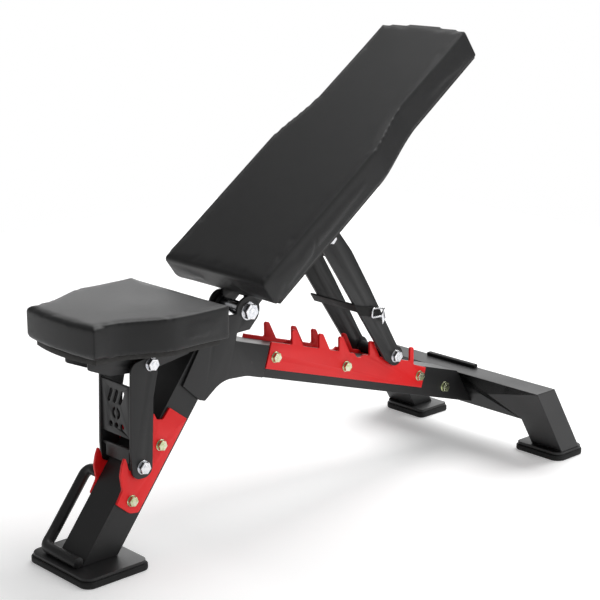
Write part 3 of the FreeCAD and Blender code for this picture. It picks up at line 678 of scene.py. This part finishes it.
class BENCH_OT_steel(bpy.types.Operator):
    """Round the edges of tubes, plates and racks and give them their coats"""
    bl_idname = "bench.steel"
    bl_label = "Coated steel"

    def execute(self, context):
        steel = context.scene.bench_steel
        for node in ("leg_tube", "spine_tube", "rear_stabiliser", "back_beam"):
            edged(node, "frame_paint", steel.tube_edge, 3, curved=False)
        plates = ["head_plate", "back_lug", "strut_lug", "strut_plate", "link_plate", "rear_foot_plate"]
        for node in [p + side for p in plates for side in ("_left", "_right")] + [
                "front_foot_plate", "seat_bracket", "pierced_panel", "link_cross", "back_cross_low",
                "back_cross_high"]:
            edged(node, "frame_paint", steel.plate_edge)
        for node in ("spine_rack_left", "spine_rack_right", "leg_rack_left", "leg_rack_right"):
            edged(node, "red_paint", steel.plate_edge)
        for node, slot in (("foot_handle", "frame_paint"), ("strut_buckle", "bright_steel"),
                           ("hinge_washers", "bright_steel"), ("link_spacers", "bright_steel"),
                           ("back_hinge_tube", "bright_steel"), ("seat_hinge_tube", "bright_steel"),
                           ("strut_hinge_tube", "bright_steel")):
            edged(node, slot, 0.0003, 1)
        return {"FINISHED"}


class BENCH_OT_rubber(bpy.types.Operator):
    """Make the rubber shoes, the stop strip, the strap and the black sleeves"""
    bl_idname = "bench.rubber"
    bl_label = "Rubber pieces"

    def execute(self, context):
        for node in ("front_foot_shoe", "rear_foot_shoe_left", "rear_foot_shoe_right"):
            edged(node, "rubber", 0.0028, 3)
        edged("stop_strip", "rubber", 0.0012, 3)
        edged("strut_strap", "rubber", 0.0012, 3)
        edged("strut_roller", "black_sleeve", 0.0012, 2)
        edged("catch_sleeve", "black_sleeve", 0.0006, 2)
        for node in ("seat_board", "back_board"):
            edged(node, "board", 0.0008, 2)
        return {"FINISHED"}


class BENCH_OT_fasteners(bpy.types.Operator):
    """Make flanged bolts with chamfered heads, and nuts with threaded ends"""
    bl_idname = "bench.fasteners"
    bl_label = "Fasteners"

    def execute(self, context):
        for group in ("rack", "spine_end"):
            self.pair(group, M10, "zinc")
        self.pair("back_hinge", M16, "bright_steel")
        for group in ("seat_hinge", "strut_hinge", "catch", "link_hinge"):
            self.pair(group, M12, "bright_steel")
        self.studs()
        return {"FINISHED"}

    def pair(self, group, radius, slot):
        """Bolts with their shanks, and the nuts on their far ends."""
        bolts, nuts = group + "_bolts", group + "_nuts"
        heads, ends = bmesh.new(), bmesh.new()
        for low, high in islands(bolts):
            centre = Vector((0, (low.y + high.y) / 2, (low.z + high.z) / 2))
            face = high.x - radius * FRAME_HEAD
            fastener(heads, centre, ACROSS, radius, face)
            shank = [(0.0, 0.0), (0.0, radius), (2 * face, radius), (2 * face, 0.0)]
            join(heads, turned(shank, centre - ACROSS * face, ACROSS, ROUND_STEPS))
            nut_end(ends, centre, -ACROSS, radius, face, radius * TIP)
        piece = new_piece(bolts + "_made", finish_mesh(bolts, heads), body_holding(bolts), slot, False)
        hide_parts(bolts)
        piece = new_piece(nuts + "_made", finish_mesh(nuts, ends), body_holding(nuts), slot, False)
        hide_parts(nuts)

    def studs(self):
        """Short bolts whose shoulders rest in the notches of the leg's racks."""
        bm = bmesh.new()
        radius, shoulder_radius = M12, 0.008
        for low, high in islands("link_studs"):
            side = 1 if high.x > 0 else -1
            centre = Vector((0, (low.y + high.y) / 2, (low.z + high.z) / 2))
            outer = max(abs(low.x), abs(high.x)) - radius * FRAME_HEAD
            inner = min(abs(low.x), abs(high.x))
            fastener(bm, centre, ACROSS * side, radius, outer)
            shoulder = [(0.0, 0.0), (0.0, 0.0076), (0.0004, shoulder_radius),
                        (outer - inner, shoulder_radius), (outer - inner, 0.0)]
            join(bm, turned(shoulder, centre + ACROSS * side * inner, ACROSS * side))
        mesh = finish_mesh("link_studs_made", bm)
        piece = new_piece("link_studs_made", mesh, body_holding("link_studs"), "bright_steel", False)
        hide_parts("link_studs")


class BENCH_OT_stage(bpy.types.Operator):
    """Make the floor, the lights and the camera"""
    bl_idname = "bench.stage"
    bl_label = "Stage"

    def execute(self, context):
        view = context.scene.bench_view
        bm = bmesh.new()
        bmesh.ops.create_grid(bm, x_segments=2, y_segments=2, size=2.4)
        mesh = finish_mesh("floor", bm)
        floor = bpy.data.objects.new("floor", mesh)
        floor.data.materials.append(plain_floor())
        context.collection.objects.link(floor)
        world = bpy.data.worlds.new("Studio air")
        world.use_nodes = True
        nodes, links = world.node_tree.nodes, world.node_tree.links
        air = nodes["Background"]
        air.inputs["Color"].default_value = (1.0, 1.0, 1.0, 1.0)
        seen = nodes.new("ShaderNodeLightPath").outputs["Is Camera Ray"]
        level = nodes.new("ShaderNodeMapRange")
        level.inputs["To Min"].default_value = 0.3
        level.inputs["To Max"].default_value = 1.0
        links.new(seen, level.inputs["Value"])
        links.new(level.outputs["Result"], air.inputs["Strength"])
        context.scene.world = world
        self.light("Overhead", (-0.1, 1.7, 3.3), (0, 0.0, 0.3), 3.2, 125)
        self.light("Side", (3.6, 1.2, 1.5), (0, 0.1, 0.4), 2.2, 26)
        self.light("Behind", (-3.2, 3.0, 1.35), (0, 0.0, 0.4), 3.2, 48)
        lens = bpy.data.cameras.new("Camera")
        lens.lens, lens.sensor_width = view.lens, 36.0
        camera = bpy.data.objects.new("Camera", lens)
        camera.location = view.place
        camera.rotation_euler = (math.pi / 2 - view.elevation, 0, view.azimuth)
        context.collection.objects.link(camera)
        context.scene.camera = camera
        context.scene.view_settings.view_transform = "Standard"
        return {"FINISHED"}

    def light(self, name, place, aim, size, power):
        lamp = bpy.data.lights.new(name, "AREA")
        lamp.size, lamp.energy = size, power
        holder = bpy.data.objects.new(name, lamp)
        holder.visible_camera = False
        holder.location = place
        holder.rotation_euler = (Vector(aim) - Vector(place)).to_track_quat("-Z", "Y").to_euler()
        bpy.context.collection.objects.link(holder)


class BENCH_PT_panel(bpy.types.Panel):
    """Sizes, colours and build steps"""
    bl_idname = "BENCH_PT_panel"
    bl_label = "Weight bench"
    bl_space_type = "VIEW_3D"
    bl_region_type = "UI"
    bl_category = "Bench"

    def draw(self, context):
        for holder in (context.scene.bench_pads, context.scene.bench_steel, context.scene.bench_view):
            box = self.layout.box()
            for key in holder.__annotations__:
                box.prop(holder, key)
        for step in STEPS:
            self.layout.operator(step.bl_idname)


STEPS = (BENCH_OT_seat, BENCH_OT_back, BENCH_OT_steel, BENCH_OT_rubber, BENCH_OT_fasteners,
         BENCH_OT_stage)
GROUPS = (BenchPads, BenchSteel, BenchView)


def register():
    for item in (*GROUPS, *STEPS, BENCH_PT_panel):
        bpy.utils.register_class(item)
    bpy.types.Scene.bench_pads = bpy.props.PointerProperty(type=BenchPads)
    bpy.types.Scene.bench_steel = bpy.props.PointerProperty(type=BenchSteel)
    bpy.types.Scene.bench_view = bpy.props.PointerProperty(type=BenchView)


def unregister():
    del bpy.types.Scene.bench_pads, bpy.types.Scene.bench_steel, bpy.types.Scene.bench_view
    for item in reversed((*GROUPS, *STEPS, BENCH_PT_panel)):
        bpy.utils.unregister_class(item)


def main():
    register()
    scene = bpy.context.scene
    make_finishes(scene.bench_steel, scene.bench_pads)
    bpy.ops.bench.seat()
    bpy.ops.bench.back()
    bpy.ops.bench.steel()
    bpy.ops.bench.rubber()
    bpy.ops.bench.fasteners()
    bpy.ops.bench.stage()


if __name__ == "__main__":
    main()
